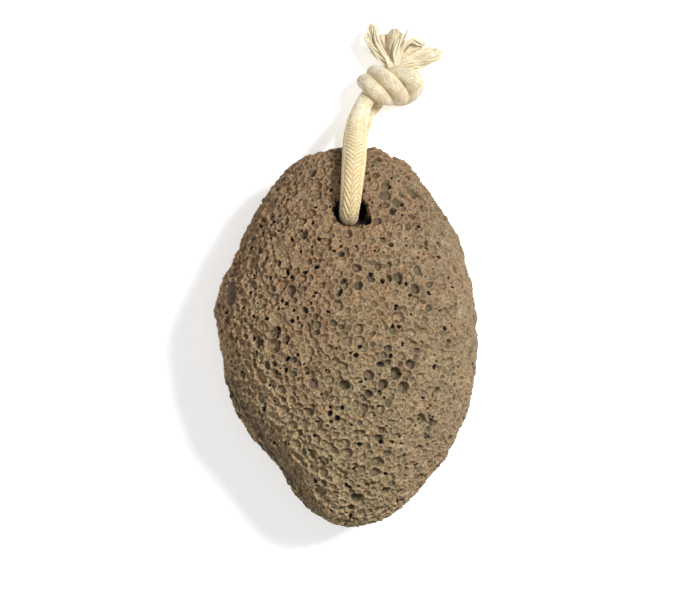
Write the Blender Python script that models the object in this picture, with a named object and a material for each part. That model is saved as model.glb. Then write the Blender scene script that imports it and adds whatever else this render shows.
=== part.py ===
# Pumice stone: a worn egg of vesicular lava, drilled near one end and strung on a braided cotton cord.
# The stone lies on its back. +Y runs from its pointed tip to its drilled end, +X is to the right, +Z is up.
# The origin is the middle of the stone's footprint, on the surface that everything rests on.

import random
from math import atan2, cos, hypot, pi, radians, sin

import bmesh
import bpy
from mathutils import Matrix, Vector, noise

MM = 0.001
GAP = 0.3  # mm between neighbouring solids
MERGE = 0.0001  # m

# The stone's outline seen from above: mm from its centre, every 15 degrees from +X towards +Y.
OUTLINE = (32.4, 33.2, 34.7, 37.6, 41.7, 47.4, 48.9, 47.2, 41.2, 36.8, 34.5, 34.4,
           32.8, 33.1, 33.4, 35.3, 36.7, 43.6, 47.8, 45.3, 40.8, 37.5, 34.8, 33.3)
EQUATOR = 17.0  # mm, the height at which the outline is widest
CROWN = 22.5  # mm from the equator to the top
KEEL = 19.0  # mm from the equator to the uncut underside, which the rest face trims at z = 0

# Broken faces of the stone: a point on each plane and its outward direction, in mm.
FACETS = (
    ((-22.0, -26.5, 22.0), (-0.80, -0.50, 0.34)),  # steep, beside the tip
    ((-27.5, 20.0, 23.0), (-0.80, 0.38, 0.46)),  # left shoulder
    ((0.0, 31.0, 7.2), (0.04, 0.44, -0.90)),  # underside of the drilled end
)
FACET_ROUNDING = 1.6  # mm
LUMPS = ((15.0, 1.0), (6.5, 0.5))  # size and height of the surface's swellings, in mm

# Large vesicles that stand out: x, y and radius on the upper side, in mm.
LARGE_PITS = (
    (-29.0, 10.3, 2.3), (-17.2, 3.6, 2.1), (-1.0, 17.6, 1.8), (11.9, 31.4, 1.2), (20.5, 22.8, 1.5),
    (22.6, -14.2, 2.0), (6.1, 15.2, 1.2), (3.0, -4.6, 1.5), (14.0, -6.8, 1.6), (8.7, -7.0, 1.2),
    (-15.0, -7.9, 1.7), (-20.8, -18.8, 1.5), (-15.5, -27.6, 1.4), (21.4, -21.9, 1.4), (-19.7, 31.2, 1.4),
    (-0.6, -38.4, 1.3), (8.8, -26.8, 1.3), (-4.0, -19.4, 1.4), (22.0, -8.0, 1.5), (12.4, 7.2, 1.2),
    (-9.4, 24.6, 1.3), (3.4, -27.4, 1.2), (24.8, 1.6, 1.4), (-24.4, 25.8, 1.6), (-7.6, 9.0, 1.5),
)
VERTEX_SPACING = 4.5  # mm between the points that carry the stone's surface
PIT_SHARE = 0.7  # share of those points that are pits
PIT_RADIUS = (1.2, 2.4)  # mm
PIT_DEPTH = 0.55  # of a pit's radius
PIT_WALL = 0.38  # of a pit's radius

HOLE_CENTRE = (1.3, 30.1)  # mm, at the hole's mouth
HOLE_MOUTH = 34.0  # mm above the surface
HOLE_RADII = (4.3, 3.3)  # mm, across and along the stone
HOLE_LEAN = (radians(13.5), radians(3.0))  # its foot leans towards the stone's end and to the left

# Middle of the cord from where its front leg leaves the knot, over the stone's end, down the hole
# and back along the surface below, with the cord's radius at each point, in mm.
CORD_ROUTE = (
    (5.4, 60.5, 8.8, 2.4), (3.8, 57.4, 10.4, 2.5), (2.9, 54.6, 13.6, 2.7), (2.4, 51.4, 19.2, 2.9),
    (2.1, 47.8, 25.2, 3.1), (1.9, 43.2, 30.4, 3.1), (1.5, 38.6, 33.7, 2.9), (1.1, 33.9, 35.1, 2.7),
    (0.7, 30.4, 33.5, 2.5), (0.6, 29.5, 28.0, 2.4), (0.3, 32.2, 20.0, 2.6), (-0.3, 34.6, 12.0, 2.8),
    (-0.6, 36.8, 6.2, 2.9), (-0.2, 40.6, 3.7, 3.0), (0.9, 44.8, 3.3, 3.0), (2.2, 49.5, 3.3, 3.0),
    (3.6, 54.0, 3.3, 2.8), (5.4, 57.4, 3.2, 2.5), (6.9, 59.3, 3.2, 2.4),
)
CORD_STEP = 2.4  # mm between the points of the cord's tube
CORD_SIDES = 2  # bevel resolution of every round section

KNOT_CENTRE = (11.4, 63.9, 7.1)  # mm
STRAND_RADIUS = 2.35  # mm, the cord squeezed in the knot
# The cord's two legs through the knot, from the knot's centre, in mm.
KNOT_FRONT_STRAND = (
    (-6.2, -3.5, 1.8), (-4.6, -1.6, 0.8), (-2.4, 0.4, 0.0), (0.0, 2.1, 1.0), (2.3, 2.9, 2.4),
    (4.5, 2.0, 3.5), (5.6, 0.4, 2.9), (5.5, -1.0, 0.9), (4.1, -2.3, -1.2), (2.2, -1.6, -3.6),
    (0.0, 0.8, -4.5), (-2.4, 2.6, -3.5), (-4.1, 3.2, -0.8), (-3.8, 3.0, 1.8), (-2.3, 2.2, 3.8),
    (-0.5, 0.6, 4.7), (1.3, -1.2, 4.1), (2.4, -2.6, 2.0), (2.4, -2.4, -0.9), (1.5, 0.2, -1.9),
    (0.9, 2.8, -1.2), (0.9, 5.4, -0.8),
)
KNOT_BACK_STRAND = (
    (-4.6, -4.7, -3.9), (-2.6, -2.6, -3.2), (0.2, 0.2, -2.6), (2.6, 2.2, -1.6), (4.8, 2.7, -0.7),
    (6.3, 1.4, -0.5), (6.3, -0.4, -1.3), (4.5, -2.2, -3.0), (1.6, -2.6, -4.4), (-1.8, -1.4, -4.7),
    (-4.8, 0.2, -3.2), (-6.5, 1.1, -0.6), (-6.3, 0.8, 2.0), (-4.9, -0.9, 4.0), (-2.8, -2.3, 3.6),
    (-0.9, -3.0, 1.4), (0.2, -2.5, -1.4), (0.6, 0.3, -2.3), (0.4, 2.8, -2.0), (0.2, 5.4, -1.8),
)
STRAND_STEP = 1.2  # mm
KNOT_CORE = (5.6, 3.2, 3.6)  # mm, half-sizes of the packed middle

# Tufts of the two cut ends: points from the knot outwards with the tuft's radius at each, in mm.
TUFTS = (
    ((11.3, 68.4, 6.2, 2.0), (9.6, 71.2, 6.0, 1.9), (6.9, 75.0, 5.6, 1.6), (5.6, 78.2, 5.2, 1.4),
     (5.7, 80.6, 5.0, 0.7)),
    ((11.8, 68.4, 5.4, 2.0), (10.4, 71.4, 4.8, 1.9), (9.0, 74.8, 4.4, 1.8), (8.5, 77.6, 4.2, 1.2)),
    ((12.4, 68.4, 5.4, 2.1), (12.0, 71.6, 5.0, 2.2), (11.9, 75.0, 5.2, 2.3), (12.0, 78.2, 5.6, 1.8)),
    ((13.0, 68.4, 7.0, 2.0), (13.4, 71.4, 8.2, 1.5), (14.2, 75.0, 9.0, 1.1), (15.8, 79.0, 9.4, 0.5)),
    ((13.6, 68.4, 6.8, 2.0), (15.2, 71.4, 7.0, 2.0), (17.4, 74.0, 7.0, 1.9), (19.8, 73.8, 6.6, 1.3)),
    ((13.6, 68.0, 6.6, 2.1), (16.6, 69.4, 6.6, 2.1), (20.4, 71.0, 6.0, 2.3), (23.6, 71.8, 5.4, 2.1),
     (25.0, 72.1, 5.3, 1.1)),
)
TUFT_STEP = 1.2  # mm


def clear_scene():
    for thing in list(bpy.data.objects):
        bpy.data.objects.remove(thing, do_unlink=True)


def material(name, colour, roughness):
    finish = bpy.data.materials.new(name)
    finish.use_nodes = True
    shader = finish.node_tree.nodes["Principled BSDF"]
    shader.inputs["Base Color"].default_value = (*colour, 1.0)
    shader.inputs["Roughness"].default_value = roughness
    shader.inputs["Metallic"].default_value = 0.0
    finish.diffuse_color = (*colour, 1.0)
    return finish


def link(name, data, finish=None):
    thing = bpy.data.objects.new(name, data)
    bpy.context.scene.collection.objects.link(thing)
    if finish:
        data.materials.append(finish)
    return thing


def mesh_object(name, bm, finish=None):
    mesh = bpy.data.meshes.new(name)
    bm.to_mesh(mesh)
    bm.free()
    return link(name, mesh, finish)


def curve_through(a, b, c, d, t):
    """Value at t between b and c of the smooth curve that passes through all four."""
    return b + 0.5 * t * (c - a + t * (2 * a - 5 * b + 4 * c - d + t * (3 * (b - c) + d - a)))


def smooth_route(points, step):
    """Evenly spaced points, `step` mm apart, of the smooth curve through the given ones."""
    knots = [Vector(point) for point in points]
    knots = [2 * knots[0] - knots[1], *knots, 2 * knots[-1] - knots[-2]]
    dense = []
    for i in range(1, len(knots) - 2):
        dense += [curve_through(*knots[i - 1:i + 3], k / 24) for k in range(24)]
    dense.append(knots[-2])
    lengths = [0.0]
    for a, b in zip(dense, dense[1:]):
        lengths.append(lengths[-1] + (b.xyz - a.xyz).length)
    count = max(2, round(lengths[-1] / step))
    route = []
    k = 0
    for i in range(count + 1):
        target = lengths[-1] * i / count
        while k < len(dense) - 2 and lengths[k + 1] < target:
            k += 1
        share = (target - lengths[k]) / max(lengths[k + 1] - lengths[k], 1e-9)
        route.append(dense[k].lerp(dense[k + 1], min(share, 1.0)))
    return route


def tube(name, route, finish=None, extra=0.0):
    """Round tube along points of x, y, z and radius in mm, thicker by `extra` mm."""
    curve = bpy.data.curves.new(name, "CURVE")
    curve.dimensions = "3D"
    curve.bevel_depth = MM
    curve.bevel_resolution = CORD_SIDES
    curve.use_fill_caps = True
    spline = curve.splines.new("POLY")
    spline.points.add(len(route) - 1)
    for point, place in zip(spline.points, route):
        point.co = (*(place.xyz * MM), 1.0)
        point.radius = place[3] + extra
    return link(name, curve, finish)


def to_mesh(thing):
    """The evaluated mesh of an object, which is then removed."""
    mesh = bpy.data.meshes.new_from_object(thing.evaluated_get(bpy.context.evaluated_depsgraph_get()))
    bpy.data.objects.remove(thing, do_unlink=True)
    return mesh


def merged(name, things, finish=None):
    """One mesh object that holds the meshes of all the given objects."""
    bm = bmesh.new()
    for thing in things:
        bm.from_mesh(to_mesh(thing))
    bmesh.ops.remove_doubles(bm, verts=bm.verts, dist=MERGE * 0.01)
    return mesh_object(name, bm, finish)


def as_cutter(thing):
    thing.hide_render = True
    thing.display_type = "WIRE"
    return thing


def cut(thing, cutter):
    boolean = thing.modifiers.new("cut by " + cutter.name, "BOOLEAN")
    boolean.operation = "DIFFERENCE"
    boolean.solver = "EXACT"
    boolean.use_self = True
    boolean.object = cutter


def fuse(thing, voxel, keep):
    """Joins overlapping shells into one skin, smooths it and thins it to a share of its faces."""
    remesh = thing.modifiers.new("one skin", "REMESH")
    remesh.mode = "VOXEL"
    remesh.voxel_size = voxel * MM
    smooth = thing.modifiers.new("soften", "SMOOTH")
    smooth.factor = 0.5
    smooth.iterations = 2
    thin = thing.modifiers.new("thin", "DECIMATE")
    thin.ratio = keep


def stone_radius(angle):
    place = angle % (2 * pi) / (2 * pi) * len(OUTLINE)
    i = int(place)
    around = [OUTLINE[(i + k) % len(OUTLINE)] for k in (-1, 0, 1, 2)]
    return curve_through(*around, place - i)


def crown_fullness(angle):
    return 2.25 - 0.25 * max(0.0, sin(angle)) ** 3


def keel_fullness(angle):
    return 2.0 - 0.5 * max(0.0, sin(angle)) ** 2


def flattened(point, on_plane, outward):
    """The point drawn in to a plane, with a rounded edge where the plane starts."""
    normal = Vector(outward).normalized()
    beyond = (point - Vector(on_plane)).dot(normal)
    if beyond <= -FACET_ROUNDING:
        return point
    if beyond < FACET_ROUNDING:
        beyond = (beyond + FACET_ROUNDING) ** 2 / (4 * FACET_ROUNDING)
    return point - normal * beyond


def stone_point(direction):
    """Point of the stone's unpitted surface, in mm, in a direction from its centre."""
    across = hypot(direction.x, direction.y)
    up = abs(direction.z)
    angle = atan2(direction.y, direction.x)
    above = direction.z >= 0
    height = CROWN if above else -KEEL
    fullness = crown_fullness(angle) if above else keel_fullness(angle)
    size = (across ** fullness + up ** fullness) ** (1 / fullness)
    radius = stone_radius(angle) * across / size
    point = Vector((radius * cos(angle), radius * sin(angle), EQUATOR + height * up / size))
    for on_plane, outward in FACETS:
        point = flattened(point, on_plane, outward)
    swelling = sum(high * noise.noise(point / wide) for wide, high in LUMPS)
    return point + direction * swelling


def direction_above(x, y):
    """Direction in which the stone's upper side has the given x and y, in mm."""
    angle = atan2(y, x)
    across = hypot(x, y) / stone_radius(angle)
    fullness = crown_fullness(angle)
    up = (1 - across ** fullness) ** (1 / fullness)
    return Vector((across * cos(angle), across * sin(angle), up)).normalized()


def spread_directions(rng):
    """Directions whose points lie all over the stone, no two nearer than the spacing."""
    directions = [direction_above(x, y) for x, y, _ in LARGE_PITS]
    taken = {}

    def cell(point):
        return tuple(int(value // VERTEX_SPACING) for value in point)

    def is_free(point):
        x, y, z = cell(point)
        near = [other for i in (-1, 0, 1) for j in (-1, 0, 1) for k in (-1, 0, 1)
                for other in taken.get((x + i, y + j, z + k), ())]
        return all((point - other).length > VERTEX_SPACING for other in near)

    for direction in directions:
        point = stone_point(direction)
        taken.setdefault(cell(point), []).append(point)
    for _ in range(14000):
        direction = Vector([rng.gauss(0, 1) for _ in range(3)]).normalized()
        point = stone_point(direction)
        if is_free(point):
            taken.setdefault(cell(point), []).append(point)
            directions.append(direction)
    return directions


def sink_pit(bm, vertex, radius):
    """Cuts the corner at a vertex to a rim and pushes the face inside it down."""
    reach = 0.46 * min(edge.calc_length() for edge in vertex.link_edges)
    radius = min(radius * MM, reach)
    cut_corner = bmesh.ops.bevel(bm, geom=[vertex], offset=radius, offset_type="OFFSET", segments=1,
                                 profile=0.5, affect="VERTICES", clamp_overlap=True)
    rim = max(cut_corner["faces"], key=lambda face: len(face.verts))
    rim.normal_update()
    bmesh.ops.inset_individual(bm, faces=[rim], thickness=radius * PIT_WALL, depth=-radius * PIT_DEPTH,
                               use_even_offset=True)


def may_pit(point):
    """True away from the rest face and from the drilled hole's mouth."""
    beside_hole = hypot(point.x / MM - HOLE_CENTRE[0], point.y / MM - HOLE_CENTRE[1] - 1.5)
    return point.z > 2.2 * MM and beside_hole > HOLE_RADII[0] + 4.5


def rest_face(bm):
    """Trims the underside flat, which is the face that the stone lies on."""
    geometry = bm.verts[:] + bm.edges[:] + bm.faces[:]
    bmesh.ops.bisect_plane(bm, geom=geometry, plane_co=(0, 0, 0), plane_no=(0, 0, 1), clear_inner=True)
    rim = [edge for edge in bm.edges if edge.is_boundary]
    bmesh.ops.contextual_create(bm, geom=rim)


def centre_footprint(bm):
    xs = [vertex.co.x for vertex in bm.verts]
    ys = [vertex.co.y for vertex in bm.verts]
    middle = Vector(((min(xs) + max(xs)) / 2, (min(ys) + max(ys)) / 2, 0))
    bmesh.ops.translate(bm, verts=bm.verts, vec=-middle)


def add_stone(finish):
    rng = random.Random(11)
    directions = spread_directions(rng)
    bm = bmesh.new()
    corners = [bm.verts.new(direction) for direction in directions]
    bmesh.ops.convex_hull(bm, input=corners)
    for corner, direction in zip(corners, directions):
        corner.co = stone_point(direction) * MM
    bmesh.ops.beautify_fill(bm, faces=bm.faces, edges=bm.edges, method="AREA")
    bm.normal_update()
    for i, corner in enumerate(corners):
        named = i < len(LARGE_PITS)
        chosen = rng.random() < PIT_SHARE
        radius = LARGE_PITS[i][2] if named else rng.uniform(*PIT_RADIUS)
        if named or (chosen and may_pit(corner.co)):
            sink_pit(bm, corner, radius)
    rest_face(bm)
    centre_footprint(bm)
    bmesh.ops.triangulate(bm, faces=bm.faces)
    bmesh.ops.recalc_face_normals(bm, faces=bm.faces)
    return mesh_object("stone", bm, finish)


def add_drill():
    bm = bmesh.new()
    bmesh.ops.create_cone(bm, cap_ends=True, segments=28, radius1=MM, radius2=MM, depth=80 * MM)
    place = Matrix.Translation((HOLE_CENTRE[0] * MM, HOLE_CENTRE[1] * MM, HOLE_MOUTH * MM))
    lean = Matrix.Rotation(HOLE_LEAN[0], 4, "X") @ Matrix.Rotation(HOLE_LEAN[1], 4, "Y")
    section = Matrix.Diagonal((*HOLE_RADII, 1.0, 1.0))
    bmesh.ops.transform(bm, matrix=place @ lean @ section, verts=bm.verts)
    return as_cutter(mesh_object("drill", bm))


def longer(route, extra):
    """The route with each end carried on by `extra` mm."""
    start = route[0].copy()
    start.xyz += (route[0].xyz - route[1].xyz).normalized() * extra
    end = route[-1].copy()
    end.xyz += (route[-1].xyz - route[-2].xyz).normalized() * extra
    return [start, *route[1:-1], end]


def add_cord(finish):
    """The cord outside its knot, and the room that its neighbours leave for it."""
    route = smooth_route(CORD_ROUTE, CORD_STEP)
    cord = tube("cord", route, finish)
    room = tube("cord_room", longer(route, GAP), extra=GAP)
    return cord, as_cutter(merged("cord_room", [room]))


def add_knot(finish):
    centre = Vector(KNOT_CENTRE)
    strands = []
    for points in (KNOT_FRONT_STRAND, KNOT_BACK_STRAND):
        route = smooth_route(points, STRAND_STEP)
        strands.append(tube("strand", [Vector((*(centre + place), STRAND_RADIUS)) for place in route]))
    bm = bmesh.new()
    bmesh.ops.create_icosphere(bm, subdivisions=2, radius=MM)
    shape = Matrix.Translation(centre * MM) @ Matrix.Diagonal((*KNOT_CORE, 1))
    bmesh.ops.transform(bm, matrix=shape, verts=bm.verts)
    core = mesh_object("core", bm)
    knot = merged("knot", [*strands, core], finish)
    fuse(knot, 0.6, 0.1)
    return knot


def tufts(name, extra, finish=None):
    """All the tufts as overlapping tubes, each thicker by `extra` mm."""
    parts = []
    for points in TUFTS:
        route = smooth_route(points, TUFT_STEP)
        parts.append(tube("tuft", longer(route, extra), extra=extra))
    return merged(name, parts, finish)


def add_frayed_ends(finish):
    ends = tufts("frayed_ends", 0.0, finish)
    fuse(ends, 0.5, 0.17)
    room = tufts("frayed_ends_room", 2 * GAP)
    fuse(room, 0.5, 0.3)
    return ends, as_cutter(room)


def main():
    clear_scene()
    lava = material("lava", (0.26, 0.18, 0.12), 0.95)
    cotton = material("cotton", (0.78, 0.66, 0.46), 0.9)
    yarn = material("yarn", (0.84, 0.74, 0.55), 0.9)
    stone = add_stone(lava)
    cut(stone, add_drill())
    cord, cord_room = add_cord(cotton)
    cut(stone, cord_room)
    knot = add_knot(cotton)
    cut(knot, cord_room)
    ends, ends_room = add_frayed_ends(yarn)
    cut(knot, ends_room)


main()
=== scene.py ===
import math

import bpy
import numpy as np
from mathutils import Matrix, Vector, kdtree, noise


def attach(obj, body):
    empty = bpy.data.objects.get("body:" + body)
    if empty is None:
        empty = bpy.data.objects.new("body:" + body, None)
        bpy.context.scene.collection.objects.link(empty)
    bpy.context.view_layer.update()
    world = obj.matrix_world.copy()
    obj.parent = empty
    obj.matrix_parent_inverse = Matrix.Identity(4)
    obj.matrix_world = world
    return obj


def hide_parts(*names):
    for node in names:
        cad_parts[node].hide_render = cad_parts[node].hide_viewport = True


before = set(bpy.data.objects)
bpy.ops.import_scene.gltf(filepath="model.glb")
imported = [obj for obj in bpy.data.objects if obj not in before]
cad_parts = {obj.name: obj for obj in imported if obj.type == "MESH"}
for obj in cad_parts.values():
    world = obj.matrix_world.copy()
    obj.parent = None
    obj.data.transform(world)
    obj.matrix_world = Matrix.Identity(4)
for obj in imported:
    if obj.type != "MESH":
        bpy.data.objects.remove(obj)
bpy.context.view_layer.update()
millimetre = 0.001
print("frame loaded")


# helpers for meshes, in millimetres until the mesh is made

def clearSelection():
    if bpy.context.object is not None and bpy.context.object.mode != "OBJECT":
        bpy.ops.object.mode_set(mode="OBJECT")
    bpy.ops.object.select_all(action="DESELECT")


def pick(thing):
    clearSelection()
    thing.select_set(True)
    bpy.context.view_layer.objects.active = thing


def applyModifier(thing, kind, **settings):
    pick(thing)
    modifier = thing.modifiers.new(kind.lower(), kind)
    for name, value in settings.items():
        setattr(modifier, name, value)
    bpy.ops.object.modifier_apply(modifier=modifier.name)


def smoothRoute(points, step):
    # evenly spaced points of the smooth curve through the given ones, with their radii
    knots = np.array(points, float)
    knots = np.vstack([2 * knots[0] - knots[1], knots, 2 * knots[-1] - knots[-2]])
    dense = []
    for a, b, c, d in zip(knots, knots[1:], knots[2:], knots[3:]):
        for t in np.arange(24) / 24:
            bend = c - a + t * (2 * a - 5 * b + 4 * c - d + t * (3 * (b - c) + d - a))
            dense.append(b + 0.5 * t * bend)
    dense.append(knots[-2])
    dense = np.array(dense)
    along = distanceAlong(dense)
    at = np.linspace(0, along[-1], max(2, round(along[-1] / step)) + 1)
    return np.stack([np.interp(at, along, column) for column in dense.T], axis=1)


def distanceAlong(points):
    steps = np.linalg.norm(np.diff(points[:, :3], axis=0), axis=1)
    return np.concatenate([[0], np.cumsum(steps)])


def unit(vectors):
    return vectors / np.maximum(np.linalg.norm(vectors, axis=-1, keepdims=True), 1e-12)


def softStep(value, low, high):
    t = np.clip((value - low) / (high - low), 0, 1)
    return t * t * (3 - 2 * t)


def routeFrames(points, start=0):
    # normal and side at each point, carried both ways from one point without twist
    tangents = unit(np.gradient(points[:, :3], axis=0))
    normals = np.zeros_like(tangents)
    up = np.array((0.0, 0.0, 1.0))
    normals[start] = unit(up - tangents[start] * np.dot(up, tangents[start]))
    for i in range(start + 1, len(points)):
        last = normals[i - 1]
        normals[i] = unit(last - tangents[i] * np.dot(last, tangents[i]))
    for i in range(start - 1, -1, -1):
        last = normals[i + 1]
        normals[i] = unit(last - tangents[i] * np.dot(last, tangents[i]))
    return normals, np.cross(tangents, normals)


def treeOf(places):
    tree = kdtree.KDTree(len(places))
    for i, place in enumerate(places.tolist()):
        tree.insert(place, i)
    tree.balance()
    return tree


class Shell:
    # gathers tubes into one mesh, with a number per point and a UV per corner
    def __init__(self):
        self.places = []
        self.faces = []
        self.values = {}
        self.uvs = []
        self.count = 0

    def addRings(self, rings, lengths, **values):
        rows, sides = rings.shape[:2]
        ring = np.arange(sides)
        following = (ring + 1) % sides
        base = self.count + np.arange(rows - 1)[:, None] * sides
        quads = np.stack([base + ring, base + following,
                          base + sides + following, base + sides + ring], axis=-1)
        self.faces += quads.reshape(-1, 4).tolist()
        self.faces.append((self.count + ring[::-1]).tolist())
        self.faces.append((self.count + (rows - 1) * sides + ring).tolist())
        across = np.arange(sides + 1) / sides
        near, far = lengths[:-1, None], lengths[1:, None]
        left, right = across[None, :-1], across[None, 1:]
        corners = np.stack([np.stack(np.broadcast_arrays(near, left), -1),
                            np.stack(np.broadcast_arrays(near, right), -1),
                            np.stack(np.broadcast_arrays(far, right), -1),
                            np.stack(np.broadcast_arrays(far, left), -1)], axis=2)
        self.uvs.append(corners.reshape(-1, 2))
        self.uvs.append(np.stack([np.full(sides, lengths[0]), across[:-1]], -1))
        self.uvs.append(np.stack([np.full(sides, lengths[-1]), across[:-1]], -1))
        self.places.append(rings.reshape(-1, 3))
        for name, value in values.items():
            full = np.broadcast_to(value, (rows, sides)).reshape(-1)
            self.values.setdefault(name, []).append(full)
        self.count += rows * sides

    def make(self, name, finish):
        mesh = bpy.data.meshes.new(name)
        mesh.from_pydata((np.vstack(self.places) * millimetre).tolist(), [], self.faces)
        layer = mesh.uv_layers.new(name="yarn")
        layer.data.foreach_set("uv", np.vstack(self.uvs).astype(np.float32).reshape(-1))
        for key, parts in self.values.items():
            attribute = mesh.attributes.new(key, "FLOAT", "POINT")
            attribute.data.foreach_set("value", np.concatenate(parts).astype(np.float32))
        mesh.materials.append(finish)
        piece = bpy.data.objects.new(name, mesh)
        bpy.context.scene.collection.objects.link(piece)
        pick(piece)
        bpy.ops.object.shade_smooth()
        print(name, len(mesh.polygons), "faces")
        return piece


def roundTube(route, sides):
    normals, across = routeFrames(route)
    angles = np.arange(sides) * 2 * math.pi / sides
    out = np.cos(angles)[None, :, None] * normals[:, None] + np.sin(angles)[None, :, None] * across[:, None]
    return route[:, None, :3] + out * route[:, None, 3:4]


# materials

class Wire:
    # one output of a node; an expression on wires adds its own Math nodes
    def __init__(self, finish, socket):
        self.finish = finish
        self.socket = socket

    def output(self, name):
        return Wire(self.finish, self.socket.node.outputs[name])

    def math(self, operation, other=0.0, swapped=False):
        first, second = (other, self) if swapped else (self, other)
        return self.finish.node("ShaderNodeMath", {"operation": operation}, {0: first, 1: second})

    def __add__(self, other):
        return self.math("ADD", other)

    __radd__ = __add__

    def __sub__(self, other):
        return self.math("SUBTRACT", other)

    def __rsub__(self, other):
        return self.math("SUBTRACT", other, swapped=True)

    def __mul__(self, other):
        return self.math("MULTIPLY", other)

    __rmul__ = __mul__

    def __truediv__(self, other):
        return self.math("DIVIDE", other)

    def __pow__(self, other):
        return self.math("POWER", other)

    def between(self, low, high):
        # 0 below low and 1 above high, with a soft step between
        return self.finish.node("ShaderNodeMapRange", {"interpolation_type": "SMOOTHSTEP"},
                                {"Value": self, "From Min": low, "From Max": high})

    def largest(self, other):
        return self.math("MAXIMUM", other)

    def smallest(self, other):
        return self.math("MINIMUM", other)


class Finish:
    # a material that ends in one Principled shader
    def __init__(self, name, **constants):
        self.material = bpy.data.materials.new(name)
        self.material.use_nodes = True
        self.tree = self.material.node_tree
        self.tree.nodes.clear()
        self.shader = self.tree.nodes.new("ShaderNodeBsdfPrincipled")
        output = self.tree.nodes.new("ShaderNodeOutputMaterial")
        self.tree.links.new(self.shader.outputs[0], output.inputs["Surface"])
        for socket, value in constants.items():
            self.shader.inputs[socket.replace("_", " ")].default_value = value

    def join(self, value, socket):
        if isinstance(value, Wire):
            self.tree.links.new(value.socket, socket)
        elif isinstance(value, tuple) and len(value) == 3 and socket.type == "RGBA":
            socket.default_value = (*value, 1.0)
        else:
            socket.default_value = value

    def node(self, kind, settings=None, inputs=None, output=0):
        made = self.tree.nodes.new(kind)
        for name, value in (settings or {}).items():
            setattr(made, name, value)
        for name, value in (inputs or {}).items():
            self.join(value, made.inputs[name])
        return Wire(self, made.outputs[output])

    def feed(self, socket, value):
        self.join(value, self.shader.inputs[socket])

    def attribute(self, name):
        return self.node("ShaderNodeAttribute", {"attribute_name": name}, output="Fac")

    def places(self, offset=(0.0, 0.0, 0.0)):
        # object coordinates in millimetres
        raw = self.node("ShaderNodeTexCoord", output="Object")
        return self.node("ShaderNodeMapping", {}, {
            "Vector": raw, "Location": offset, "Scale": (1000.0, 1000.0, 1000.0)})

    def noise(self, where, size, detail=2.0, roughness=0.5, distortion=0.0):
        # soft noise with features about size mm wide
        return self.node("ShaderNodeTexNoise", {}, {
            "Vector": where, "Scale": 1.0 / size, "Detail": detail, "Roughness": roughness,
            "Distortion": distortion})

    def mix(self, share, first, second, blend="MIX"):
        made = self.tree.nodes.new("ShaderNodeMix")
        made.data_type = "RGBA"
        made.blend_type = blend
        made.clamp_factor = True
        self.join(share, made.inputs[0])
        self.join(first, made.inputs[6])
        self.join(second, made.inputs[7])
        return Wire(self, made.outputs[2])

    def brighten(self, colour, factor):
        # multiplies a colour by a number
        grey = self.node("ShaderNodeCombineColor", {}, {0: factor, 1: factor, 2: factor})
        return self.mix(1.0, colour, grey, "MULTIPLY")

    def bump(self, height, depth, strength, below=None):
        # raised by height, as share of a depth in millimetres, on top of another bump
        inputs = {"Height": height, "Distance": depth * millimetre, "Strength": strength}
        if below is not None:
            inputs["Normal"] = below
        return self.node("ShaderNodeBump", {}, inputs)


# camera, floor and light

studio = {
    "cameraPlace": (0.0009, 0.0102, 0.517),
    "lens": 102.04,
    "sensor": 36.0,
    "floorSize": 3.0,
    "floorDrop": 0.0001,
    "floorColour": (0.88, 0.88, 0.88),
    "floorGlow": 0.52,
    "worldColour": (1.0, 1.0, 1.0),
    "worldStrength": 0.16,
    # place, aim, width and power in watts
    "lights": {
        "key": ((0.36, 0.21, 0.58), (0.0, 0.01, 0.02), 0.15, 5.6),
        "top": ((-0.16, 0.00, 1.08), (0.0, 0.01, 0.0), 0.9, 3.6),
    },
}


def setStudio():
    bpy.ops.object.camera_add(location=studio["cameraPlace"], rotation=(0.0, 0.0, 0.0))
    camera = bpy.context.object
    camera.data.lens = studio["lens"]
    camera.data.sensor_width = studio["sensor"]
    camera.data.clip_start = 0.01
    bpy.context.scene.camera = camera
    for name, (place, aim, width, power) in studio["lights"].items():
        direction = Vector(aim) - Vector(place)
        turn = direction.to_track_quat("-Z", "Y").to_euler()
        bpy.ops.object.light_add(type="AREA", location=place, rotation=turn)
        light = bpy.context.object
        light.name = name
        light.data.size = width
        light.data.energy = power
    world = bpy.data.worlds.new("studioWorld")
    world.use_nodes = True
    background = world.node_tree.nodes["Background"]
    background.inputs["Color"].default_value = (*studio["worldColour"], 1.0)
    background.inputs["Strength"].default_value = studio["worldStrength"]
    bpy.context.scene.world = world
    bpy.context.scene.view_settings.view_transform = "Standard"
    bpy.ops.mesh.primitive_plane_add(size=studio["floorSize"], location=(0, 0, -studio["floorDrop"]))
    floor = bpy.context.object
    floor.name = "floor"
    paper = Finish("paper", Roughness=0.9)
    paper.feed("Base Color", studio["floorColour"])
    paper.feed("Emission Color", studio["floorColour"])
    paper.feed("Emission Strength", studio["floorGlow"])
    floor.data.materials.append(paper.material)
    print("studio set")


clearSelection()
setStudio()


# the cord: a tubular braid of two families of paired yarns round a core

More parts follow.
